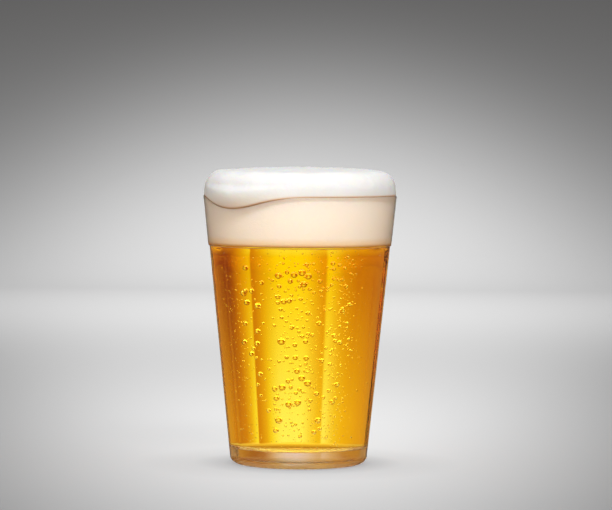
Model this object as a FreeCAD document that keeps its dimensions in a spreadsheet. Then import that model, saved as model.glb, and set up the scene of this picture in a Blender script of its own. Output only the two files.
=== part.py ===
"""A pint of lager in a panelled bar tumbler, in millimetres.

The tumbler is pressed glass: a plain band at the rim, a small ledge under it, then convex upright panels that
run down to a rounded heel and a ring foot. Lager fills it to the ledge. A head of foam stands on the lager,
rises over the rim as a flat-topped dome, and hangs over the rim's outside at one place.

+Z is up, and the origin is the middle of the foot, on the table. The front is -Y.
"""
import FreeCAD, Part
import math
import os

import Sketcher
from FreeCAD import Placement, Rotation, Vector

# name, size and what it measures. Lengths are in millimetres and angles in degrees.
SIZES = (
    ("rim_radius", 44.5, "outside of the rim"),
    ("foot_cone_radius", 31.7, "outside of the band's cone, drawn on down to the table"),
    ("glass_height", 123.4, "table to rim"),
    ("band_height", 23.1, "plain band at the rim"),
    ("ledge_depth", 0.45, "from the band in to the panels' crowns"),
    ("ledge_round", 0.3, "rounding of the band's lower edge"),
    ("panel_count", 14, "panels round the glass"),
    ("groove_depth", 0.35, "from the crowns in to the grooves between panels"),
    ("panel_root", 1.5, "how far a panel is rooted in the core behind its grooves"),
    ("first_groove", 18.7, "angle of one groove from the front, towards +X"),
    ("heel_radius", 5.0, "rounding from the panels to the foot"),
    ("heel_step", 0.25, "how far the heel's widest circle stands outside the crowns"),
    ("heel_sink", 0.15, "how far the heel's circle dips below the table, which leaves a foot edge"),
    ("foot_ring_width", 2.8, "flat ring that stands on the table"),
    ("punt_depth", 1.2, "hollow under the foot, at its middle"),
    ("floor_thickness", 7.8, "glass under the lager, from the table"),
    ("floor_corner", 1.6, "rounding inside, where the wall meets the floor"),
    ("wall_at_rim", 2.2, "wall at the rim"),
    ("wall_at_floor", 2.9, "wall at the floor, behind a crown"),
    ("rim_round", 0.9, "rounding of both edges of the rim"),
    ("lager_level", 101.0, "top of the lager, from the table"),
    ("head_rise", 13.1, "top of the foam over the rim"),
    ("head_setback", 0.6, "from the rim in to the foam's side above it"),
    ("head_side", 3.2, "upright side of the foam over the rim"),
    ("head_crown", 1.4, "how far the top's middle stands over the shoulder's rounding"),
    ("lobe_angle", -44.0, "angle of the overhanging foam from the front, towards +X"),
    ("lobe_spread", 24.0, "angle over which the overhang falls off to a third, each way"),
    ("lobe_droop", 5.3, "how far the overhang hangs below the rim"),
    ("lobe_bulge", 2.0, "how far the overhang stands outside the rim"),
    ("lobe_root", 8.0, "how far the overhang is rooted in the dome, in from the rim"),
)
LOBE_SECTIONS = 15  # upright sections through the overhang

doc = FreeCAD.newDocument("PintOfLager")
sheet = doc.addObject("Spreadsheet::Sheet", "Sizes")


def fill_sheet():
    for row, (name, size, meaning) in enumerate(SIZES, start=1):
        sheet.set(f"A{row}", meaning)
        sheet.set(f"B{row}", str(size))
        sheet.setAlias(f"B{row}", name)
    doc.recompute()


# Formulas, as text for the expression engine. z is a height over the table.
def band(z):
    """Outside radius of the band's cone."""
    return (
        f"(Sizes.foot_cone_radius + (Sizes.rim_radius - Sizes.foot_cone_radius)"
        f" * ({z}) / Sizes.glass_height)"
    )


def crown(z):
    """Radius of the panels' crowns."""
    return f"({band(z)} - Sizes.ledge_depth)"


def groove(z):
    """Radius of the grooves between panels."""
    return f"({crown(z)} - Sizes.groove_depth)"


def bore(z):
    """Inside radius of the glass, which is the outside of the lager."""
    at_floor = f"({crown('Sizes.floor_thickness')} - Sizes.wall_at_floor)"
    at_rim = "(Sizes.rim_radius - Sizes.wall_at_rim)"
    share = f"(({z}) - Sizes.floor_thickness) / (Sizes.glass_height - Sizes.floor_thickness)"
    return f"({at_floor} + ({at_rim} - {at_floor}) * {share})"


HALF_PANEL = "(180 deg / Sizes.panel_count)"
BAND_FOOT = "(Sizes.glass_height - Sizes.band_height)"
HEEL_CENTRE = f"({crown('Sizes.heel_radius')} - Sizes.heel_radius + Sizes.heel_step)"
FOOT_EDGE = (
    f"({HEEL_CENTRE} + sqrt(2 * Sizes.heel_radius * Sizes.heel_sink - Sizes.heel_sink ^ 2))"
)
PUNT_EDGE = f"({FOOT_EDGE} - Sizes.foot_ring_width)"
FLOOR_CIRCLE = (bore("Sizes.floor_thickness"), "Sizes.floor_thickness")


def value(formula):
    """The number that a formula gives for the sheet's present sizes."""
    found = sheet.evalExpression(str(formula))
    return float(getattr(found, "Value", found))


def origin_feature(body, role):
    return next(f for f in body.Origin.OriginFeatures if f.Role == role)


def new_sketch(body, name, plane, lift=None, turn=None):
    """A sketch on one of the body's own planes, raised by lift and turned about the plane's normal by turn."""
    sketch = body.newObject("Sketcher::SketchObject", name)
    sketch.AttachmentSupport = [(origin_feature(body, plane), "")]
    sketch.MapMode = "FlatFace"
    sketch.AttachmentOffset = Placement(Vector(), Rotation(Vector(0, 0, 1), 1))
    sketch.setExpression(".AttachmentOffset.Base.z", lift or "0")
    sketch.setExpression(".AttachmentOffset.Rotation.Angle", turn or "0")
    return sketch


def bind(sketch, kind, geometry, formula):
    """Adds a measured constraint that follows a formula."""
    number = sketch.addConstraint(Sketcher.Constraint(kind, *geometry, value(formula)))
    sketch.setExpression(f"Constraints[{number}]", formula)


def pin(sketch, edge, end, place):
    """Fixes one end of an edge at place, a pair of formulas. A plain 0 puts it on the sketch's axis."""
    across, up = place
    if across == "0":
        sketch.addConstraint(Sketcher.Constraint("PointOnObject", edge, end, -2))
    else:
        bind(sketch, "DistanceX", (-1, 1, edge, end), across)
    if up == "0":
        sketch.addConstraint(Sketcher.Constraint("PointOnObject", edge, end, -1))
    else:
        bind(sketch, "DistanceY", (-1, 1, edge, end), up)


def arc_between(start, stop, radius, centre_on_left):
    """The short arc from start to stop with its centre on that side of the way there, and True if it runs
    anticlockwise."""
    way = stop - start
    sideways = Vector(-way.y, way.x, 0).normalize() * (1 if centre_on_left else -1)
    centre = (start + stop) / 2 + sideways * math.sqrt(radius**2 - way.Length**2 / 4)
    first, last = (start, stop) if centre_on_left else (stop, start)
    angles = [math.atan2(p.y - centre.y, p.x - centre.x) for p in (first, last)]
    circle = Part.Circle(centre, Vector(0, 0, 1), radius)
    return Part.ArcOfCircle(circle, angles[0], angles[1]), centre_on_left


def draw_outline(sketch, corners, arcs=None):
    """A closed outline through corners, which are pairs of formulas. arcs maps a corner's number to the radius
    formula of the arc from there to the next corner, and whether its centre is on the left."""
    arcs = arcs or {}
    places = [Vector(value(across), value(up), 0) for across, up in corners]
    ends = []
    for number, start in enumerate(places):
        stop = places[(number + 1) % len(places)]
        if number in arcs:
            radius, centre_on_left = arcs[number]
            edge, forwards = arc_between(start, stop, value(radius), centre_on_left)
        else:
            edge, forwards = Part.LineSegment(start, stop), True
        sketch.addGeometry(edge, False)
        ends.append((1, 2) if forwards else (2, 1))
    for number in range(len(places)):
        following = (number + 1) % len(places)
        sketch.addConstraint(
            Sketcher.Constraint("Coincident", number, ends[number][1], following, ends[following][0])
        )
    for number, corner in enumerate(corners):
        pin(sketch, number, ends[number][0], corner)
    for number, (radius, _) in arcs.items():
        bind(sketch, "Radius", (number,), radius)


def turned(body, name, kind, corners, arcs=None):
    """A Revolution or Groove about Z of an outline in the XZ plane."""
    sketch = new_sketch(body, name + "Outline", "XZ_Plane")
    draw_outline(sketch, corners, arcs)
    feature = body.newObject(kind, name)
    feature.Profile = sketch
    feature.ReferenceAxis = (sketch, ["V_Axis"])
    feature.Angle = 360
    doc.recompute()
    return feature


def round_edges(body, name, radius, circles):
    """Fillets the circular edges that lie at these (radius, height) pairs of formulas."""
    base = body.Tip
    wanted = [(value(around), value(height)) for around, height in circles]
    edges = []
    for number, edge in enumerate(base.Shape.Edges, start=1):
        if edge.Degenerated or not isinstance(edge.Curve, Part.Circle):
            continue
        found = (edge.Curve.Radius, edge.Curve.Center.z)
        if any(math.dist(found, place) < 1e-4 for place in wanted):
            edges.append(f"Edge{number}")
    if len(edges) < len(wanted):
        raise ValueError(f"{name}: {len(wanted)} circles wanted, {len(edges)} found")
    fillet = body.newObject("PartDesign::Fillet", name)
    fillet.Base = (base, edges)
    fillet.setExpression("Radius", radius)
    doc.recompute()


def panel_section(body, name, height):
    """One panel at a height, its crown on the sketch's own X axis. Its root lies behind the grooves."""
    side, root = groove(height), f"({groove(height)} - Sizes.panel_root)"
    rise = f"({crown(height)} - {side} * cos({HALF_PANEL}))"
    bulge = f"(({rise} ^ 2 + ({side} * sin({HALF_PANEL})) ^ 2) / (2 * {rise}))"

    def corner(radius, sign):
        return f"{radius} * cos({HALF_PANEL})", f"{sign} * {radius} * sin({HALF_PANEL})"

    turn = f"Sizes.first_groove * 1 deg - 90 deg + {HALF_PANEL}"
    sketch = new_sketch(body, name, "XY_Plane", height, turn)
    corners = [corner(side, -1), corner(side, 1), corner(root, 1), corner(root, -1)]
    draw_outline(sketch, corners, {0: (bulge, True)})
    return sketch


def add_panels(body):
    """One panel lofted from the table to the ledge, then repeated round the core."""
    foot, ledge = (
        panel_section(body, "PanelAtTable", "0"),
        panel_section(body, "PanelAtLedge", BAND_FOOT),
    )
    panel = body.newObject("PartDesign::AdditiveLoft", "Panel")
    panel.Profile = foot
    panel.Sections = [ledge]
    doc.recompute()
    panels = body.newObject("PartDesign::PolarPattern", "Panels")
    panels.Originals = [panel]
    panels.Axis = (origin_feature(body, "Z_Axis"), [""])
    panels.Angle = 360
    panels.setExpression("Occurrences", "Sizes.panel_count")
    body.Tip = panels
    doc.recompute()


def make_glass():
    """Core and band, panels, heel, bore and foot hollow, then the rounded edges."""
    body = doc.addObject("PartDesign::Body", "Glass")
    body.Label = "glass"
    root = "Sizes.panel_root / 2"
    turned(
        body,
        "Core",
        "PartDesign::Revolution",
        [
            ("0", "0"),
            (f"{groove('0')} - {root}", "0"),
            (f"{groove(BAND_FOOT)} - {root}", BAND_FOOT),
            (band(BAND_FOOT), BAND_FOOT),
            ("Sizes.rim_radius", "Sizes.glass_height"),
            ("0", "Sizes.glass_height"),
        ],
    )
    add_panels(body)
    below = "-1"  # cuts run a little past the faces that they open
    heel_side = f"{HEEL_CENTRE} + Sizes.heel_radius"
    turned(
        body,
        "Heel",
        "PartDesign::Groove",
        [
            (HEEL_CENTRE, below),
            (HEEL_CENTRE, "-Sizes.heel_sink"),
            (heel_side, "Sizes.heel_radius - Sizes.heel_sink"),
            (f"{heel_side} + Sizes.heel_radius", "Sizes.heel_radius - Sizes.heel_sink"),
            (f"{heel_side} + Sizes.heel_radius", below),
        ],
        {1: ("Sizes.heel_radius", True)},
    )
    above = "Sizes.glass_height + 1"
    turned(
        body,
        "Bore",
        "PartDesign::Groove",
        [
            ("0", "Sizes.floor_thickness"),
            (bore("Sizes.floor_thickness"), "Sizes.floor_thickness"),
            (bore(above), above),
            ("0", above),
        ],
    )
    sphere = f"({PUNT_EDGE} ^ 2 + Sizes.punt_depth ^ 2) / (2 * Sizes.punt_depth)"
    turned(
        body,
        "Punt",
        "PartDesign::Groove",
        [("0", below), (PUNT_EDGE, below), (PUNT_EDGE, "0"), ("0", "Sizes.punt_depth")],
        {2: (sphere, True)},
    )
    rim = "Sizes.glass_height"
    round_edges(body, "RimRounding", "Sizes.rim_round", [("Sizes.rim_radius", rim), (bore(rim), rim)])
    round_edges(body, "LedgeRounding", "Sizes.ledge_round", [(band(BAND_FOOT), BAND_FOOT)])
    round_edges(body, "FloorRounding", "Sizes.floor_corner", [FLOOR_CIRCLE])
    return body


def make_lager():
    """The lager fills the bore from the floor to its level, against the glass all round."""
    body = doc.addObject("PartDesign::Body", "Lager")
    body.Label = "beer"
    turned(
        body,
        "Fill",
        "PartDesign::Revolution",
        [
            ("0", "Sizes.floor_thickness"),
            (bore("Sizes.floor_thickness"), "Sizes.floor_thickness"),
            (bore("Sizes.lager_level"), "Sizes.lager_level"),
            ("0", "Sizes.lager_level"),
        ],
    )
    round_edges(body, "FillRounding", "Sizes.floor_corner", [FLOOR_CIRCLE])
    return body


def make_dome():
    """The foam as turned: from the lager to the rim inside the wall, then the dome over the rim."""
    body = doc.addObject("PartDesign::Body", "Dome")
    level, rim = "Sizes.lager_level", "Sizes.glass_height"
    side = "(Sizes.rim_radius - Sizes.head_setback)"
    shoulder_foot = f"({rim} + Sizes.head_side)"
    shoulder = "(Sizes.head_rise - Sizes.head_side - Sizes.head_crown)"
    # the top's circle is centred on the axis and touches the shoulder's circle from outside
    drop = "(Sizes.head_rise - Sizes.head_side)"
    inset = f"({side} - {shoulder})"
    top = f"(({drop} ^ 2 + {inset} ^ 2 - {shoulder} ^ 2) / (2 * Sizes.head_crown))"
    top_centre = f"({rim} + Sizes.head_rise - {top})"
    share = f"({top} / ({top} - {shoulder}))"
    turned(
        body,
        "Head",
        "PartDesign::Revolution",
        [
            ("0", level),
            (f"({bore(level)} + {band(level)}) / 2", level),
            (side, f"{rim} - Sizes.rim_round"),
            (side, shoulder_foot),
            (f"{inset} * {share}", f"{top_centre} + ({shoulder_foot} - {top_centre}) * {share}"),
            ("0", f"{rim} + Sizes.head_rise"),
        ],
        {3: (shoulder, True), 4: (top, True)},
    )
    return body


def lobe_section(angle):
    """An upright ellipse through the overhang at an angle from its middle. It hangs lowest and stands out
    furthest in the middle, and draws back into the dome's side towards both ends."""
    near = math.exp(-((angle / sheet.lobe_spread) ** 2))
    hidden = sheet.head_side / 2
    bottom = hidden - (hidden + sheet.lobe_droop) * near
    drawn_back = -2 * sheet.head_setback
    outer = sheet.rim_radius + drawn_back + (sheet.lobe_bulge - drawn_back) * near
    inner = sheet.rim_radius - sheet.lobe_root
    top = (sheet.head_rise + sheet.head_side) / 2
    across, up = (outer - inner) / 2, (top - bottom) / 2
    facing = math.radians(angle + sheet.lobe_angle)
    outward = Vector(math.sin(facing), -math.cos(facing), 0)
    middle = outward * ((outer + inner) / 2) + Vector(0, 0, sheet.glass_height + (top + bottom) / 2)
    long_way, short_way = (outward, across), (Vector(0, 0, 1), up)
    if up > across:
        long_way, short_way = short_way, long_way
    ellipse = Part.Ellipse(
        middle + long_way[0] * long_way[1], middle + short_way[0] * short_way[1], middle
    )
    return Part.Wire([ellipse.toShape()])


def make_lobe():
    """The overhang alone, lofted along the rim."""
    lobe = doc.addObject("Part::Feature", "Lobe")
    reach = 2.2 * sheet.lobe_spread
    angles = [reach * (2 * number / (LOBE_SECTIONS - 1) - 1) for number in range(LOBE_SECTIONS)]
    lobe.Shape = Part.makeLoft([lobe_section(angle) for angle in angles], True, False)
    return lobe


def make_foam(glass):
    """Dome and overhang in one piece, cut back to the glass that it lies against."""
    whole = doc.addObject("Part::MultiFuse", "FoamWhole")
    whole.Shapes = [make_dome(), make_lobe()]
    foam = doc.addObject("Part::Cut", "Foam")
    foam.Base = whole
    foam.Tool = glass
    foam.Label = "foam"
    doc.recompute()
    return foam


def check_document(pieces):
    """Stops the build if anything failed to recompute."""
    for item in doc.Objects:
        if {"Invalid", "Error"} & set(item.State):
            raise RuntimeError(f"{item.Name} is {item.State}")
    for piece in pieces:
        if piece.Shape.isNull() or not piece.Shape.isValid():
            raise RuntimeError(f"{piece.Label} is not a valid shape")


def main():
    fill_sheet()
    glass = make_glass()
    pieces = [glass, make_lager(), make_foam(glass)]
    doc.recompute()
    check_document(pieces)
    os.makedirs("parts", exist_ok=True)
    for piece in pieces:
        piece.Shape.exportStep(f"parts/{piece.Label}.step")
        print(piece.Label, round(piece.Shape.Volume), "mm3,", len(piece.Shape.Solids), "solids,",
              len(piece.Shape.Faces), "faces", piece.Shape.BoundBox)


main()
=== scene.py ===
import random
from math import atan2, cos, exp, hypot, pi, radians, sin

import bpy
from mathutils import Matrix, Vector


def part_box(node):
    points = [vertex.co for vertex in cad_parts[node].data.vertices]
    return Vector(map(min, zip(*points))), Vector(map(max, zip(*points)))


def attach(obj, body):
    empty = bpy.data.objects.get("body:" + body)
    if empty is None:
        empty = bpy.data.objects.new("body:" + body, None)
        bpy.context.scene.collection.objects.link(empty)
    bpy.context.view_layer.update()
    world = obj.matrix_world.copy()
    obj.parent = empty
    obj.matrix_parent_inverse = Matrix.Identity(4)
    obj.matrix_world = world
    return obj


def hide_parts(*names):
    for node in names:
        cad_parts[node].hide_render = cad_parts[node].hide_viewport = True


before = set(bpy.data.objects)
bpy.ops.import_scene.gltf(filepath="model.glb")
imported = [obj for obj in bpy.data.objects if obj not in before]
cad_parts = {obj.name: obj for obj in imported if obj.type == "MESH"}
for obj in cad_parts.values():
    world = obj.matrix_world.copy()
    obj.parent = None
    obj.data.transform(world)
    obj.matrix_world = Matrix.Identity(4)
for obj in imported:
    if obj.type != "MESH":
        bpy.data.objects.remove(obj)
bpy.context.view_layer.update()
mm = 0.001


# materials: helpers

def hexColour(code):
    channels = [int(code[i:i + 2], 16) / 255 for i in (1, 3, 5)]
    return tuple(c / 12.92 if c <= 0.04045 else ((c + 0.055) / 1.055) ** 2.4 for c in channels) + (1.0,)


def addNode(tree, kind, settings=None, links=None, stops=()):
    node = tree.nodes.new(kind)
    for name, value in (settings or {}).items():
        if isinstance(name, int) or name in node.inputs:
            node.inputs[name].default_value = value
        else:
            setattr(node, name, value)
    for name, source in (links or {}).items():
        tree.links.new(source, node.inputs[name])
    for number, (place, colour) in enumerate(stops):
        elements = node.color_ramp.elements
        if number == 0:
            elements.remove(elements[-1])
        else:
            elements.new(place)
        elements[number].position = place
        elements[number].color = colour
    return node


def newMaterial(name):
    material = bpy.data.materials.new(name)
    material.use_nodes = True
    material.node_tree.nodes.clear()
    return material, material.node_tree


def spreadStops(stops, first, last):
    # real places along a ramp, as shares of its length
    return [((place - first) / (last - first), colour) for place, colour in stops]


# modelling: a profile drawn point by point, then spun round the glass's axis

spinning = dict(segments=280, weld=0.002)


def drawProfile(name, points):
    bpy.ops.object.select_all(action="DESELECT")
    bpy.ops.mesh.primitive_plane_add(size=mm)
    piece = bpy.context.object
    piece.name = piece.data.name = name
    bpy.ops.object.mode_set(mode="EDIT")
    bpy.ops.mesh.select_all(action="SELECT")
    bpy.ops.mesh.merge(type="CENTER")  # one vertex to draw from
    at = Vector((0, 0, 0))
    for number, (radius, height) in enumerate(points):
        place = Vector((radius * mm, 0, height * mm))
        if number == 0:
            bpy.ops.transform.translate(value=place)
        else:
            bpy.ops.mesh.extrude_vertices_move(TRANSFORM_OT_translate={"value": place - at})
        at = place
    return piece


def spinProfile(piece):
    bpy.ops.mesh.select_all(action="SELECT")
    bpy.ops.mesh.spin(steps=spinning["segments"], angle=2 * pi, center=(0, 0, 0), axis=(0, 0, 1))
    bpy.ops.mesh.select_all(action="SELECT")
    bpy.ops.mesh.remove_doubles(threshold=spinning["weld"] * mm)
    bpy.ops.mesh.normals_make_consistent(inside=False)
    bpy.ops.object.mode_set(mode="OBJECT")
    bpy.ops.object.shade_smooth()
    return piece


def arc(centre, radius, start, stop, steps):
    angles = [radians(start + (stop - start) * i / steps) for i in range(steps + 1)]
    return [(centre[0] + radius * cos(a), centre[1] + radius * sin(a)) for a in angles]


def weigh(piece, name, weight):
    group = piece.vertex_groups.new(name=name)
    for vertex in piece.data.vertices:
        share = weight(vertex.co / mm)
        if share > 0:
            group.add([vertex.index], share, "REPLACE")


def push(piece, name, distance, direction="NORMAL", texture=None, group="", middle=0.0):
    bpy.ops.object.select_all(action="DESELECT")
    piece.select_set(True)
    bpy.context.view_layer.objects.active = piece
    step = piece.modifiers.new(name, "DISPLACE")
    step.strength = distance * mm
    step.mid_level = middle
    step.direction = direction
    step.texture = texture
    step.vertex_group = group
    bpy.ops.object.modifier_apply(modifier=name)


def clouds(name, size):
    texture = bpy.data.textures.new(name, "CLOUDS")
    texture.noise_scale = size * mm
    texture.noise_depth = 2
    return texture


def aroundFrom(place, angle):
    off = (atan2(place.x, -place.y) - radians(angle) + pi) % (2 * pi) - pi
    return off * 180 / pi


def clamped(share):
    return min(1, max(0, share))


# glass

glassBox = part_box("glass")
tumbler = dict(
    rim=min(-glassBox[0].x, -glassBox[0].y, glassBox[1].x, glassBox[1].y) / mm,
    height=glassBox[1].z / mm,
    footCone=31.7, band=23.1, ledge=0.45, ledgeRound=0.3,
    panels=14, grooveDepth=0.35, firstGroove=18.7, grooveFrom=1.8, grooveRunIn=1.0, grooveRunOut=0.3,
    heel=5.0, heelCentre=27.02, heelLift=4.85, footEdge=28.2, puntEdge=25.4, punt=1.2,
    floor=7.8, corner=1.6, wallRim=2.2, wallFloor=2.9, rimRound=0.9,
    # heights where the stippled foot and the wavy base end, and how near the bore counts as its wall
    heelTop=3.3, baseTop=7.6, skin=0.3, underFloor=0.5,
    # where the profile has its points: radii across punt and floor, heights up the outside and down the bore
    puntAt=(2, 5, 9, 13, 17, 20, 22.5, 24.3),
    panelsAt=(4.5, 6, 8, 10, 13, 18, 24, 32, 42, 52, 62, 72, 82, 90, 95, 98, 99.3),
    bandAt=(101.2, 102.5, 105, 109, 113, 117, 120, 121.5),
    boreAt=(121, 118, 114, 110, 105, 101, 96, 88, 78, 68, 58, 48, 38, 28, 20, 15),
    floorAt=(22, 19, 15, 11, 7, 3),
)


def bandRadius(height):
    return tumbler["footCone"] + (tumbler["rim"] - tumbler["footCone"]) * height / tumbler["height"]


def crownRadius(height):
    return bandRadius(height) - tumbler["ledge"]


def boreRadius(height):
    low = crownRadius(tumbler["floor"]) - tumbler["wallFloor"]
    high = tumbler["rim"] - tumbler["wallRim"]
    return low + (high - low) * (height - tumbler["floor"]) / (tumbler["height"] - tumbler["floor"])


def floorCorner():
    height = tumbler["floor"] + tumbler["corner"]
    return (boreRadius(height) - tumbler["corner"], height)


def makeGlass():
    t = tumbler
    ledgeHeight = t["height"] - t["band"]
    rimCentre = t["height"] - t["rimRound"]
    # underside: the hollow of the punt, the ring it stands on, and the rounded heel
    points = [(0, t["punt"])]
    sphere = (t["puntEdge"] ** 2 + t["punt"] ** 2) / (2 * t["punt"])
    points += [(r, t["punt"] - sphere + (sphere ** 2 - r ** 2) ** 0.5) for r in t["puntAt"]]
    points += [(t["puntEdge"] - 0.1, 0.03), (t["puntEdge"] + 0.3, 0), (t["footEdge"] - 0.3, 0)]
    points += arc((t["heelCentre"], t["heelLift"]), t["heel"], -74, -29, 9)
    points += [(crownRadius(2.75) - 0.015, 2.7), (crownRadius(3.1), 3.1), (crownRadius(3.6), 3.6)]
    # outside: the panels, the small ledge over them, and the plain band
    points += [(crownRadius(z), z) for z in t["panelsAt"]]
    points += [(crownRadius(ledgeHeight - 0.35), ledgeHeight - 0.35)]
    points += [(crownRadius(ledgeHeight) + 0.05, ledgeHeight - 0.08)]
    edge = (bandRadius(ledgeHeight) - t["ledgeRound"], ledgeHeight + t["ledgeRound"])
    points += arc(edge, t["ledgeRound"], -80, 0, 5)
    points += [(bandRadius(z), z) for z in t["bandAt"]]
    # rim, bore and floor
    points += arc((t["rim"] - t["rimRound"], rimCentre), t["rimRound"], 3, 90, 8)
    points += arc((boreRadius(t["height"]) + t["rimRound"], rimCentre), t["rimRound"], 90, 176, 8)
    points += [(boreRadius(z), z) for z in t["boreAt"]]
    points += arc(floorCorner(), t["corner"], 3, -90, 12)
    points += [(r, t["floor"]) for r in t["floorAt"]] + [(0, t["floor"])]
    piece = drawProfile("tumbler", points)
    spinProfile(piece)
    panel = 360 / t["panels"]

    def grooveShare(place):
        if hypot(place.x, place.y) < crownRadius(place.z) - t["skin"]:
            return 0
        low = clamped((place.z - t["grooveFrom"]) / t["grooveRunIn"])
        high = clamped((ledgeHeight - place.z) / t["grooveRunOut"])
        # 0 on a groove, half on a crown
        across = (aroundFrom(place, t["firstGroove"]) / panel + 0.5) % 1 - 0.5
        return (1 - 2 * abs(across)) ** 2 * low * high

    weigh(piece, "grooves", grooveShare)
    push(piece, "pressGrooves", -t["grooveDepth"], group="grooves")
    return piece


# lager

lagerSizes = dict(
    level=101.0, reach=0.12,  # reach: how far it goes into the wall, so that no air gap shows
    floorAt=(0, 3, 7, 11, 15, 19, 22),
    wallAt=(15, 20, 28, 38, 48, 58, 68, 78, 88, 96),
    topAt=(35, 28, 20, 12, 5, 0),
)


def makeLager():
    t, s = tumbler, lagerSizes
    points = [(r, t["floor"] - s["reach"]) for r in s["floorAt"]]
    points += arc(floorCorner(), t["corner"] + s["reach"], -90, 3, 12)
    points += [(boreRadius(z) + s["reach"], z) for z in s["wallAt"]]
    points += [(boreRadius(s["level"]) + s["reach"], s["level"])]
    points += [(r, s["level"]) for r in s["topAt"]]
    return spinProfile(drawProfile("lager", points))


# foam

foamSizes = dict(
    rise=12.7, side=43.9, sideHeight=3.2, crown=1.4, underside=100.6,
    lobeAngle=-44.0, lobeSpread=24.0, lobeDroop=5.0, lobeBulge=2.0,
    lumpSize=9.0, lumpDepth=0.5, fineSize=1.6, fineDepth=0.12,
    # painted shade: how high the painted contact shadow reaches above the rim, how high the painted shade
    # under the lobe reaches, and how dark it is there
    rimShadeHeight=0.9, lobeShadeHeight=4.0, lobeShadeStrength=0.6, poleFade=40.0,
    # the part outside the rim starts at overhang and swells past swellFrom; heights here are from the rim
    overhang=43.3, swellFrom=43.7, swellReach=8.0, droopFrom=0.6, droopOver=7.0,
    openFrom=0.4, openOver=4.0, rimSkin=0.2,
    undersideAt=(0, 3, 7, 11, 15, 19, 23, 27, 31, 34, 36.5, 38),
    wallAt=(102, 103, 104, 105.5, 107, 109, 111, 113, 115, 117, 119, 121),
    # radius, and height above the rim
    lip=((43.4, -0.1), (43.6, -0.12), (43.8, 0), (43.95, 0.25),
         (44.0, 0.6), (43.98, 1.1), (43.95, 1.7), (43.92, 2.4)),
    domeAt=(34.6, 33, 31, 29, 27, 25, 23, 21, 19, 17, 15, 13, 11, 9, 7, 5, 3, 1.5),
)


def makeFoam():
    t, f, reach = tumbler, foamSizes, lagerSizes["reach"]
    rim = t["height"]
    rimCentre = rim - t["rimRound"]
    inset = t["rimRound"] - reach
    low = f["underside"]
    points = [(r, low) for r in f["undersideAt"]]
    points += [(boreRadius(low) - 0.5, low), (boreRadius(low) + reach, low + 0.5)]
    points += [(boreRadius(z) + reach, z) for z in f["wallAt"]]
    points += arc((boreRadius(rim) + t["rimRound"], rimCentre), inset, 176, 95, 7)
    points += [(r, rim + up) for r, up in f["lip"]]
    # a rounded shoulder, and a flat dome that meets it smoothly
    shoulder = f["rise"] - f["sideHeight"] - f["crown"]
    centre = (f["side"] - shoulder, rim + f["sideHeight"])
    drop = f["rise"] - f["sideHeight"]
    top = (drop ** 2 + centre[0] ** 2 - shoulder ** 2) / (2 * f["crown"])
    last = 90 - atan2(centre[0], top - shoulder) * 180 / pi
    points += arc(centre, shoulder, 0, last, 16)
    points += [(r, rim + f["rise"] - top + (top ** 2 - r ** 2) ** 0.5) for r in f["domeAt"]]
    points += [(0, rim + f["rise"])]
    piece = spinProfile(drawProfile("foamHead", points))

    def nearLobe(place):
        return exp(-(aroundFrom(place, f["lobeAngle"]) / f["lobeSpread"]) ** 2)

    def droop(place):
        if place.z < rim - f["rimSkin"] or hypot(place.x, place.y) < f["overhang"]:
            return 0
        fall = max(0, 1 - max(0, place.z - rim - f["droopFrom"]) / f["droopOver"])
        return nearLobe(place) * fall * fall * (3 - 2 * fall)

    def bulge(place):
        if hypot(place.x, place.y) < f["swellFrom"] or place.z < rim - f["swellReach"]:
            return 0
        up = (place.z - (rim - f["lobeDroop"])) / (f["lobeDroop"] + f["swellReach"])
        if up < 0 or up > 1:
            return 0
        return nearLobe(place) * max(0, sin(pi * clamped(up * 0.8 + 0.15)))

    def foamContactShade(place):
        # painted shade: a brown contact shadow along the edge that touches the rim, and a softer shade under
        # the hanging lobe, as a share from 0 to 1
        if hypot(place.x, place.y) < f["overhang"] or place.z < rim - f["rimSkin"]:
            return 0
        edge = clamped(1 - (place.z - rim) / f["rimShadeHeight"])
        lobe = f["lobeShadeStrength"] * nearLobe(place) * max(0, 1 - (place.z - rim) / f["lobeShadeHeight"])
        return max(edge, lobe)

    # painted shade, kept per vertex for the foam's colour
    contactShadeShare = piece.data.attributes.new("foamContactShade", "FLOAT", "POINT")
    for vertex in piece.data.vertices:
        contactShadeShare.data[vertex.index].value = foamContactShade(vertex.co / mm)
    weigh(piece, "droop", droop)
    push(piece, "hangOver", -f["lobeDroop"], direction="Z", group="droop")
    weigh(piece, "bulge", bulge)
    push(piece, "swell", f["lobeBulge"], group="bulge")

    def openAir(place):
        return clamped((place.z - rim - f["openFrom"]) / f["openOver"])

    def openCurls(place):
        # the spun mesh is too coarse towards its pole to carry the fine relief
        return openAir(place) * min(1, hypot(place.x, place.y) / f["poleFade"]) ** 4

    weigh(piece, "open", openAir)
    weigh(piece, "curls", openCurls)
    push(piece, "lumps", f["lumpDepth"] * 2, texture=clouds("lumps", f["lumpSize"]), group="open", middle=0.5)
    push(piece, "fine", f["fineDepth"] * 2, texture=clouds("fine", f["fineSize"]), group="curls", middle=0.5)
    return piece


# bubbles in the lager

bubbleKinds = dict(
    risingBubbles=dict(faces=2, seed=94, clusters=[
        # angle and spread in degrees from the front, heights, how many, radii
        dict(angle=-1, spread=11, low=14, high=94, count=145, small=0.5, large=1.8),
        dict(angle=29, spread=7, low=14, high=97, count=80, small=0.4, large=1.3),
        dict(angle=-34, spread=6, low=30, high=92, count=28, small=0.45, large=1.7),
    ]),
    fineBubbles=dict(faces=2, seed=80, clusters=[
        dict(angle=0, spread=18, low=10, high=100, count=380, small=0.18, large=0.5),
        dict(angle=34, spread=7, low=10, high=100, count=300, small=0.16, large=0.48),
        dict(angle=-50, spread=8, low=12, high=98, count=220, small=0.14, large=0.42),
        dict(angle=180, spread=70, low=10, high=100, count=200, small=0.10, large=0.24),
    ]),
)
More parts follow.
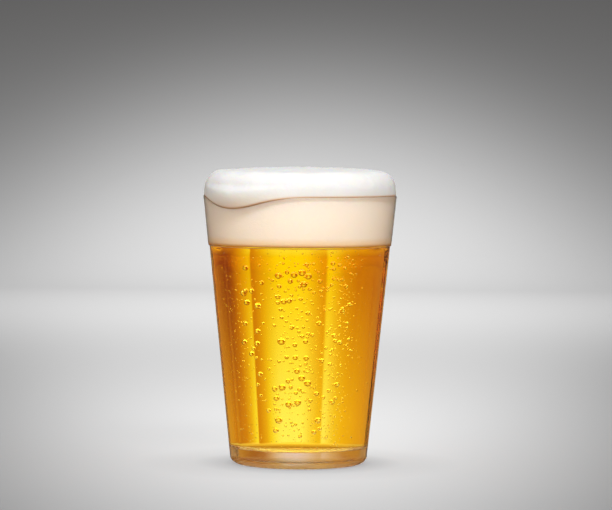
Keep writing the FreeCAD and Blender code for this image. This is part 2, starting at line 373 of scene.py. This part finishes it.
# most are small; each keeps clear of the wall and of the others, and is round or a little flat
bubbleHabit = dict(mostlySmall=2.2, offWall=0.12, deeper=1.2, apart=0.1, flattest=0.9)


def makeBubbles(name, kind):
    habit = bubbleHabit
    dice = random.Random(kind["seed"])
    bpy.ops.object.select_all(action="DESELECT")
    bpy.ops.mesh.primitive_ico_sphere_add(subdivisions=kind["faces"], radius=mm)
    bubble = bpy.context.object
    bpy.ops.object.shade_smooth()
    bubble.name = name
    copies = []
    placed = []
    for cluster in kind["clusters"]:
        made = 0
        while made < cluster["count"]:
            spare = cluster["large"] - cluster["small"]
            size = cluster["small"] + spare * dice.random() ** habit["mostlySmall"]
            angle = radians(dice.gauss(cluster["angle"], cluster["spread"]))
            height = dice.uniform(cluster["low"], cluster["high"])
            depth = habit["offWall"] + abs(dice.gauss(0, habit["deeper"])) + size
            around = boreRadius(height) - depth
            place = Vector((around * sin(angle), -around * cos(angle), height))
            if any((place - other).length < size + far + habit["apart"] for other, far in placed):
                continue
            placed.append((place, size))
            copy = bubble.copy()
            copy.data = bubble.data.copy()
            copy.location = place * mm
            copy.scale = (size, size, size * dice.uniform(habit["flattest"], 1.0))
            bpy.context.scene.collection.objects.link(copy)
            copies.append(copy)
            made += 1
    bpy.ops.object.select_all(action="DESELECT")
    for copy in copies:
        copy.select_set(True)
    bpy.context.view_layer.objects.active = copies[0]
    bpy.ops.object.join()
    whole = bpy.context.object
    bpy.data.objects.remove(bubble)
    whole.name = whole.data.name = name
    bpy.ops.object.transform_apply(location=True, rotation=True, scale=True)
    return whole


# materials

glassIor = 1.52  # soda-lime glass


def pressedGlass(name, roughness, body="#FFFFFF", tint="#FFFFFF"):
    # soda-lime glass pressed in a polished mould: colourless, with sharp bright reflections; a stippled mould
    # leaves it frosted. The body colour and reflection tint, where given, are painted light: the amber that
    # thick glass shows from the lager over it
    material, tree = newMaterial(name)
    shader = addNode(tree, "ShaderNodeBsdfPrincipled", {
        "Base Color": hexColour(body), "Transmission Weight": 1.0, "IOR": glassIor, "Roughness": roughness,
        "Specular Tint": hexColour(tint)})
    addNode(tree, "ShaderNodeOutputMaterial", links={"Surface": shader.outputs[0]})
    return material


def wettedGlass(name, roughness):
    # pressed glass with liquid behind it: no sheen of its own, but at a low angle it still reflects all
    material, tree = newMaterial(name)
    through = addNode(tree, "ShaderNodeBsdfRefraction", {"IOR": glassIor, "Roughness": roughness})
    mirror = addNode(tree, "ShaderNodeBsdfAnisotropic", {"Color": (1, 1, 1, 1), "Roughness": roughness})
    fresnel = addNode(tree, "ShaderNodeFresnel", {"IOR": glassIor})
    total = addNode(tree, "ShaderNodeMath", {"operation": "GREATER_THAN", 1: 0.999}, {0: fresnel.outputs[0]})
    both = addNode(tree, "ShaderNodeMixShader", links={
        0: total.outputs[0], 1: through.outputs[0], 2: mirror.outputs[0]})
    addNode(tree, "ShaderNodeOutputMaterial", links={"Surface": both.outputs[0]})
    return material


def clearLager():
    # filtered pale lager: quite clear, straw where it is thin and full gold through the middle, because it
    # takes out nearly all blue. It meets wet glass on every side, so it has no sheen of its own
    material, tree = newMaterial("clearLager")
    shader = addNode(tree, "ShaderNodeBsdfPrincipled", {
        "Base Color": hexColour("#FFFFFF"), "Transmission Weight": 1.0, "IOR": 1.34, "Roughness": 0.0,
        "Specular Tint": hexColour("#000000")})
    depth = addNode(tree, "ShaderNodeVolumeAbsorption", {"Color": hexColour("#FEF000"), "Density": 50.0})
    addNode(tree, "ShaderNodeOutputMaterial", links={
        "Surface": shader.outputs[0], "Volume": depth.outputs[0]})
    return material


def bubbleGas():
    # carbon dioxide in the lager: clear, so the eye gets only a dark ring and a bright spot. Its IOR is given
    # against the lager round it, and raised from the true 0.75 so that the rings stay thin
    material, tree = newMaterial("carbonDioxide")
    shader = addNode(tree, "ShaderNodeBsdfPrincipled", {
        "Base Color": hexColour("#FFFFFF"), "Transmission Weight": 1.0, "IOR": 0.84, "Roughness": 0.0})
    addNode(tree, "ShaderNodeOutputMaterial", links={"Surface": shader.outputs[0]})
    return material


def beerFoam():
    # fine foam poured with the beer: matt, soft and white on top where light scatters in it, cream behind the
    # glass, and amber at its foot. A brown contact shadow is painted along the edge on the rim, and a softer
    # shade under the hanging lobe
    material, tree = newMaterial("beerFoam")
    where = addNode(tree, "ShaderNodeTexCoord").outputs["Object"]
    height = addNode(tree, "ShaderNodeSeparateXYZ", links={"Vector": where}).outputs["Z"]
    level, rim = lagerSizes["level"] * mm, tumbler["height"] * mm
    low, high = 0.1, 0.13
    share = addNode(tree, "ShaderNodeMapRange", {"From Min": low, "From Max": high}, {"Value": height})
    tint = addNode(tree, "ShaderNodeValToRGB", links={"Fac": share.outputs[0]}, stops=spreadStops([
        (level, hexColour("#E3A24A")),
        (level + 1.2 * mm, hexColour("#F3D9B0")),
        (level + 4 * mm, hexColour("#F8EEDF")),
        (rim - 1 * mm, hexColour("#F8F2E8")),
        (rim + 4 * mm, hexColour("#FCFAF7"))], low, high))
    # painted shade: the contact shadow along the rim and the shade under the lobe darken the foam's colour
    contactShadeShare = addNode(tree, "ShaderNodeAttribute", {"attribute_name": "foamContactShade"}).outputs["Fac"]
    contactShadeTint = addNode(tree, "ShaderNodeValToRGB", links={"Fac": contactShadeShare}, stops=[
        (0.0, hexColour("#FFFFFF")), (0.55, hexColour("#F7E2D4")),
        (0.8, hexColour("#E1BC9E")), (1.0, hexColour("#AA7E59"))])
    tint = addNode(tree, "ShaderNodeMixRGB", {"blend_type": "MULTIPLY", "Fac": 1.0}, {
        "Color1": tint.outputs[0], "Color2": contactShadeTint.outputs[0]})
    # curls of about 1.5 mm, and the cells of the foam, drawn as coarse as 0.7 mm so that they show
    curls = addNode(tree, "ShaderNodeTexNoise", {"Scale": 1 / (1.5 * mm), "Detail": 3.0}, {"Vector": where})
    swell = addNode(tree, "ShaderNodeBump", {"Strength": 0.5, "Distance": 0.25 * mm}, {
        "Height": curls.outputs[0]})
    cells = addNode(tree, "ShaderNodeTexVoronoi", {"Scale": 1 / (0.7 * mm)}, {"Vector": where})
    relief = addNode(tree, "ShaderNodeBump", {"Strength": 0.25, "Distance": 0.2 * mm}, {
        "Height": cells.outputs["Distance"], "Normal": swell.outputs[0]})
    shader = addNode(tree, "ShaderNodeBsdfPrincipled", {
        "Roughness": 0.75, "Subsurface Weight": 0.6, "Subsurface Radius": (1.0, 0.75, 0.5),
        "Subsurface Scale": 4 * mm, "Specular IOR Level": 0.3,
    }, {"Base Color": tint.outputs[0], "Normal": relief.outputs[0]})
    addNode(tree, "ShaderNodeOutputMaterial", links={"Surface": shader.outputs[0]})
    return material


def dress(piece, material, node, slot):
    piece.data.materials.clear()
    piece.data.materials.append(material)
    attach(piece, "root")
    if node:
        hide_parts(node)
    piece.visible_shadow = slot == "foam"


def finishGlass(piece):
    # under the lager and foam the wall's inside meets liquid, not air, so it hardly mirrors; the foot's
    # underside and heel are stippled by the mould, and the thick base above them is softly wavy
    t = tumbler
    finishes = [
        wettedGlass("wettedPressedGlass", 0.0),
        wettedGlass("wettedFloorGlass", 0.2),
        # painted light: the foot's amber-brown body and reflection tint and the base's pinkish cream stand in
        # for lager light in the thick glass
        pressedGlass("stippledPressedGlass", 0.45, "#DDB68B", "#EDCB95"),
        pressedGlass("wavyPressedGlass", 0.12, "#D7BFB3"),
    ]
    for finish in finishes:
        piece.data.materials.append(finish)
    for face in piece.data.polygons:
        place = face.center / mm
        around = hypot(place.x, place.y)
        if place.z > t["floor"] - t["underFloor"] and around < boreRadius(place.z) + t["skin"]:
            face.material_index = 1 if place.z > t["floor"] + t["corner"] else 2
        elif place.z < t["heelTop"]:
            face.material_index = 3
        elif place.z < t["baseTop"]:
            face.material_index = 4


glassPiece = makeGlass()
print("tumbler modelled", len(glassPiece.data.polygons))
lagerPiece = makeLager()
foamPiece = makeFoam()
print("lager and foam modelled", len(foamPiece.data.polygons))
gas = bubbleGas()
bubblePieces = [makeBubbles(name, kind) for name, kind in bubbleKinds.items()]
print("bubbles modelled", [len(p.data.polygons) for p in bubblePieces])
dress(glassPiece, pressedGlass("sodaLimePressedGlass", 0.0), "glass", "glass")
finishGlass(glassPiece)
dress(lagerPiece, clearLager(), "beer", "beer")
dress(foamPiece, beerFoam(), "foam", "foam")
for piece in bubblePieces:
    dress(piece, gas, None, "glass")


# stage: paper sweep, lights and camera

sweep = dict(front=-3.0, bendFrom=1.4, bendRadius=0.8, top=3.0, halfWidth=3.0, shadeTo=0.1)


def makeSweep():
    bpy.ops.object.select_all(action="DESELECT")
    bpy.ops.mesh.primitive_plane_add(size=1)
    piece = bpy.context.object
    piece.name = "paperSweep"
    bpy.ops.object.mode_set(mode="EDIT")
    bpy.ops.mesh.select_all(action="SELECT")
    bpy.ops.mesh.merge(type="CENTER")
    s = sweep
    path = [(s["front"], 0), (0, 0), (s["bendFrom"], 0)]
    path += arc((s["bendFrom"], s["bendRadius"]), s["bendRadius"], -90, 0, 24)[1:]
    path += [(s["bendFrom"] + s["bendRadius"], s["top"])]
    at = Vector((0, 0, 0))
    for number, (along, height) in enumerate(path):
        place = Vector((-s["halfWidth"], along, height))
        if number == 0:
            bpy.ops.transform.translate(value=place)
        else:
            bpy.ops.mesh.extrude_vertices_move(TRANSFORM_OT_translate={"value": place - at})
        at = place
    bpy.ops.mesh.select_all(action="SELECT")
    bpy.ops.mesh.extrude_edges_move(TRANSFORM_OT_translate={"value": (2 * s["halfWidth"], 0, 0)})
    bpy.ops.mesh.select_all(action="SELECT")
    bpy.ops.mesh.normals_make_consistent(inside=False)
    bpy.ops.object.mode_set(mode="OBJECT")
    bpy.ops.object.shade_smooth()
    # matt grey background paper, with no sheen. A soft contact shadow is painted into its colour close round
    # the foot, darkest nearest the glass, since lamps through clear glass cast none
    material, tree = newMaterial("mattPaper")
    where = addNode(tree, "ShaderNodeTexCoord").outputs["Object"]
    away = addNode(tree, "ShaderNodeVectorMath", {"operation": "LENGTH"}, {0: where}).outputs["Value"]
    share = addNode(tree, "ShaderNodeMapRange", {"From Min": 0.0, "From Max": s["shadeTo"]}, {"Value": away})
    shade = addNode(tree, "ShaderNodeValToRGB", links={"Fac": share.outputs[0]}, stops=spreadStops([
        (0.026, hexColour("#5A5A5A")),
        (0.034, hexColour("#6C6C6C")),
        (0.048, hexColour("#777777")),
        (0.075, hexColour("#7C7C7C"))], 0.0, s["shadeTo"]))
    shader = addNode(tree, "ShaderNodeBsdfDiffuse", {"Roughness": 0.0}, {"Color": shade.outputs[0]})
    addNode(tree, "ShaderNodeOutputMaterial", links={"Surface": shader.outputs[0]})
    piece.data.materials.append(material)
    piece.visible_glossy = piece.visible_transmission = piece.visible_diffuse = False


# a glowing card close behind the glass, which shows only through it, and a low strip behind the foot: painted
# backlight, whose glow across the width paints the light and shade seen through the lager and the foot. each
# stop is a sideways place in mm and the glow there, as linear red, green and blue
card = dict(
    behind=0.15, halfWidth=0.35, height=0.30, low=0.018, high=0.088,
    bandFrom=0.12, bandFull=0.135, band=(4.6, 4.9, 5.0),
    upper=[
        (-350, (0.95, 0.72, 0.32)), (-200, (0.78, 0.46, 0.10)), (-120, (0.62, 0.24, 0.01)),
        (-75, (0.57, 0.21, 0.01)), (-50, (0.60, 0.24, 0.02)), (-36, (0.63, 0.27, 0.02)),
        (-26, (0.69, 0.35, 0.02)), (-18, (0.80, 0.45, 0.02)), (-12, (0.90, 0.67, 0.03)),
        (-5, (1.07, 1.02, 0.03)), (1, (1.11, 1.14, 0.03)), (8, (1.04, 1.02, 0.03)),
        (14, (0.92, 0.76, 0.03)), (20, (0.84, 0.56, 0.03)), (30, (0.64, 0.29, 0.02)),
        (40, (0.36, 0.10, 0.01)), (60, (0.25, 0.045, 0.01)), (78, (0.30, 0.065, 0.01)),
        (105, (0.62, 0.23, 0.01)), (200, (0.80, 0.47, 0.10)), (350, (0.95, 0.72, 0.32)),
    ],
    lower=[
        (-350, (0.95, 0.72, 0.32)), (-200, (0.82, 0.50, 0.10)), (-120, (0.76, 0.38, 0.02)),
        (-70, (0.84, 0.46, 0.04)), (-48, (0.89, 0.55, 0.06)), (-30, (0.96, 0.66, 0.08)),
        (-19, (0.98, 0.80, 0.20)), (-12, (1.05, 1.02, 0.70)), (-5, (1.12, 1.34, 1.60)),
        (1, (1.12, 1.38, 1.80)), (8, (1.12, 1.32, 1.70)), (14, (1.08, 1.20, 0.80)),
        (19, (1.03, 0.96, 0.20)), (25, (0.88, 0.58, 0.08)), (36, (0.68, 0.30, 0.03)),
        (60, (0.58, 0.22, 0.01)), (84, (0.67, 0.30, 0.02)), (105, (0.80, 0.42, 0.03)),
        (200, (0.84, 0.52, 0.10)), (350, (0.95, 0.72, 0.32)),
    ],
)
strip = dict(
    behind=0.149, halfWidth=0.16, height=0.0066,
    stops=[
        (-150, (0.90, 0.66, 0.30)), (-110, (0.58, 0.24, 0.04)), (-75, (0.62, 0.27, 0.06)),
        (-56, (0.75, 0.40, 0.13)), (-31, (1.05, 0.75, 0.30)), (-16, (1.20, 1.02, 0.66)),
        (0, (1.25, 1.12, 0.86)), (20, (1.20, 1.02, 0.66)), (30, (1.00, 0.70, 0.28)),
        (41, (0.70, 0.35, 0.08)), (70, (0.50, 0.18, 0.02)), (110, (0.55, 0.20, 0.03)),
        (150, (0.90, 0.66, 0.30)),
    ],
)


def unbounced(tree):
    # 1, and 0 once the path has met foam or paper, so that a card lights neither
    bounces = addNode(tree, "ShaderNodeLightPath").outputs["Diffuse Depth"]
    return addNode(tree, "ShaderNodeMapRange", {"To Min": 1.0, "To Max": 0.0}, {"Value": bounces}).outputs[0]


def addCard(name, sizes, material):
    bpy.ops.object.select_all(action="DESELECT")
    bpy.ops.mesh.primitive_plane_add(
        size=1, location=(0, sizes["behind"], sizes["height"] / 2), rotation=(radians(90), 0, 0))
    piece = bpy.context.object
    piece.name = name
    piece.scale = (2 * sizes["halfWidth"], sizes["height"], 1)
    bpy.ops.object.transform_apply(location=True, rotation=True, scale=True)
    piece.visible_camera = piece.visible_diffuse = piece.visible_glossy = piece.visible_shadow = False
    piece.data.materials.append(material)
    material.cycles.emission_sampling = "NONE"


def glowStops(stops, width):
    return spreadStops([(place * mm, glow + (1,)) for place, glow in stops], -width, width)


def makeCards():
    # painted backlight: a glowing card that lights nothing, warm and brightest in the middle, with darker
    # bands that paint the shade seen through the lager
    material, tree = newMaterial("paintedBacklight")
    where = addNode(tree, "ShaderNodeTexCoord").outputs["Object"]
    split = addNode(tree, "ShaderNodeSeparateXYZ", links={"Vector": where})
    width = card["halfWidth"]
    across = addNode(tree, "ShaderNodeMapRange", {"From Min": -width, "From Max": width}, {
        "Value": split.outputs["X"]}).outputs[0]
    rise = addNode(tree, "ShaderNodeMapRange", {"From Min": card["low"], "From Max": card["high"]}, {
        "Value": split.outputs["Z"]})
    lower = addNode(tree, "ShaderNodeValToRGB", links={"Fac": across}, stops=glowStops(card["lower"], width))
    upper = addNode(tree, "ShaderNodeValToRGB", links={"Fac": across}, stops=glowStops(card["upper"], width))
    both = addNode(tree, "ShaderNodeMixRGB", links={
        "Fac": rise.outputs[0], "Color1": lower.outputs[0], "Color2": upper.outputs[0]})
    # painted highlight: above what shows through the lager itself, a bright glowing band that the upper halves
    # of the bubbles show
    over = addNode(tree, "ShaderNodeMapRange", {"From Min": card["bandFrom"], "From Max": card["bandFull"]}, {
        "Value": split.outputs["Z"]})
    whole = addNode(tree, "ShaderNodeMixRGB", {"Color2": card["band"] + (1,)}, {
        "Fac": over.outputs[0], "Color1": both.outputs[0]})
    glow = addNode(tree, "ShaderNodeEmission", links={"Color": whole.outputs[0], "Strength": unbounced(tree)})
    addNode(tree, "ShaderNodeOutputMaterial", links={"Surface": glow.outputs[0]})
    addCard("backlightCard", card, material)
    # painted light: a narrow cream glowing strip of the same, which paints the light band in the foot
    material, tree = newMaterial("paintedFootLight")
    where = addNode(tree, "ShaderNodeTexCoord").outputs["Object"]
    split = addNode(tree, "ShaderNodeSeparateXYZ", links={"Vector": where})
    width = strip["halfWidth"]
    across = addNode(tree, "ShaderNodeMapRange", {"From Min": -width, "From Max": width}, {
        "Value": split.outputs["X"]}).outputs[0]
    ramp = addNode(tree, "ShaderNodeValToRGB", links={"Fac": across}, stops=glowStops(strip["stops"], width))
    glow = addNode(tree, "ShaderNodeEmission", links={"Color": ramp.outputs[0], "Strength": unbounced(tree)})
    addNode(tree, "ShaderNodeOutputMaterial", links={"Surface": glow.outputs[0]})
    addCard("footStrip", strip, material)


air = dict(
    above=(0.55, 0.55, 0.55, 1), below=(0.22, 0.17, 0.13, 1), inBand=(0.94, 0.73, 0.60, 1),
    mirroredFront=0.03, mirroredBack=0.06,
    through=hexColour("#FBE3AC"), under=(0.40, 0.16, 0.05, 1),
)


def lightWorld():
    world = bpy.data.worlds.new("studioAir")
    bpy.context.scene.world = world
    world.use_nodes = True
    world.cycles.sampling_method = "NONE"  # its colour hangs on the path, which light sampling can't know
    tree = world.node_tree
    tree.nodes.clear()
    path = addNode(tree, "ShaderNodeLightPath")
    way = addNode(tree, "ShaderNodeSeparateXYZ", links={
        "Vector": addNode(tree, "ShaderNodeTexCoord").outputs["Generated"]})
    # mirrored: dark in front of the glass, pale behind it
    behind = addNode(tree, "ShaderNodeMapRange", {
        "From Min": -0.1, "From Max": 0.5, "To Min": air["mirroredFront"], "To Max": air["mirroredBack"],
    }, {"Value": way.outputs["Y"]})
    # through the glass: pale all round, dark towards the ground
    above = addNode(tree, "ShaderNodeMapRange", {
        "interpolation_type": "SMOOTHSTEP", "From Min": -0.75, "From Max": -0.3,
    }, {"Value": way.outputs["Z"]})
    through = addNode(tree, "ShaderNodeMixRGB", {"Color1": air["under"], "Color2": air["through"]}, {
        "Fac": above.outputs[0]})
    colour = addNode(tree, "ShaderNodeMixRGB", links={
        "Fac": path.outputs["Is Transmission Ray"], "Color1": behind.outputs[0], "Color2": through.outputs[0]})
    # on foam and paper: pale from above, and amber where it comes in through the glass
    upwards = addNode(tree, "ShaderNodeMapRange", {"From Min": -0.3, "From Max": 0.3}, {
        "Value": way.outputs["Z"]})
    onOpen = addNode(tree, "ShaderNodeMixRGB", {"Color1": air["below"], "Color2": air["above"]}, {
        "Fac": upwards.outputs[0]})
    onSurface = addNode(tree, "ShaderNodeMixRGB", {"Color2": air["inBand"]}, {
        "Fac": path.outputs["Is Transmission Ray"], "Color1": onOpen.outputs[0]})
    bounced = addNode(tree, "ShaderNodeMapRange", links={"Value": path.outputs["Diffuse Depth"]})
    colour = addNode(tree, "ShaderNodeMixRGB", links={
        "Fac": bounced.outputs[0], "Color1": colour.outputs[0], "Color2": onSurface.outputs[0]})
    sky = addNode(tree, "ShaderNodeBackground", {"Strength": 1.0}, {"Color": colour.outputs[0]})
    addNode(tree, "ShaderNodeOutputWorld", links={"Surface": sky.outputs[0]})


def addLamp(name, kind, place, target, watts, **settings):
    light = bpy.data.lights.new(name, kind)
    light.energy = watts
    lamp = bpy.data.objects.new(name, light)
    bpy.context.scene.collection.objects.link(lamp)
    lamp.location = place
    lamp.rotation_euler = (Vector(target) - Vector(place)).to_track_quat("-Z", "Y").to_euler()
    for key, value in settings.items():
        setattr(light, key, value)
    lamp.visible_camera = lamp.visible_glossy = lamp.visible_transmission = False
    return lamp


def linkTo(lamps, name, receivers):
    group = bpy.data.collections.new(name)
    bpy.context.scene.collection.children.link(group)
    for receiver in receivers:
        group.objects.link(receiver)
    for lamp in lamps:
        lamp.light_linking.receiver_collection = group
        lamp.light_linking.blocker_collection = group


def makeLights():
    lightWorld()
    addLamp("keySoftbox", "AREA", (0.16, -0.76, 0.82), (0, 0, 0.12), 5.2,
            shape="RECTANGLE", size=0.3, size_y=0.25)
    front = addLamp("foamSoftbox", "AREA", (-0.22, -0.98, 0.18), (0, 0, 0.11), 2.35,
                    shape="RECTANGLE", size=0.3, size_y=0.15)
    # inside the lager, so that its top glows as seen from below, in the bubbles
    under = addLamp("underGlow", "AREA", (0, 0, 0.02), (0, 0, 0.1), 0.022,
                    shape="DISK", size=0.056, spread=radians(20))
    linkTo([front, under], "foamOnly", [foamPiece])
    pool = addLamp("poolSpot", "SPOT", (0, -1.5, 0.4), (0, 0.88, -0.04), 2190,
                   spot_size=radians(15.6), spot_blend=1.0, shadow_soft_size=0.1)
    wash = addLamp("bendSpot", "SPOT", (0, 1.2, 0.77), (0, 1.25, -0.12), 52,
                   spot_size=radians(124.6), spot_blend=1.0, shadow_soft_size=0.1)
    linkTo([pool, wash], "paperOnly", [bpy.data.objects["paperSweep"]])


# away and frameWidth in mm: how far the camera stands, and how wide it sees there
shot = dict(sensor=36, away=1471.04, frameWidth=281.3364, look=2.65, roll=0.4, aimHeight=95.8, aimSide=2.9)


def makeCamera():
    camera = bpy.data.cameras.new("camera")
    holder = bpy.data.objects.new("camera", camera)
    bpy.context.scene.collection.objects.link(holder)
    camera.sensor_width = shot["sensor"]
    camera.lens = shot["sensor"] * shot["away"] / shot["frameWidth"]
    look = radians(shot["look"])
    target = Vector((shot["aimSide"] * mm, 0, shot["aimHeight"] * mm))
    holder.location = target + Vector((0, -cos(look), sin(look))) * shot["away"] * mm
    holder.rotation_euler = (target - holder.location).to_track_quat("-Z", "Y").to_euler()
    holder.rotation_euler.rotate_axis("Z", radians(shot["roll"]))
    bpy.context.scene.camera = holder


makeSweep()
makeCards()
makeLights()
makeCamera()
bpy.context.scene.view_settings.view_transform = "Standard"
# light crosses glass, lager and many bubbles before it is out again
bpy.context.scene.cycles.transmission_bounces = 24
bpy.context.scene.cycles.glossy_bounces = 24
bpy.context.scene.cycles.max_bounces = 32
print("stage set")
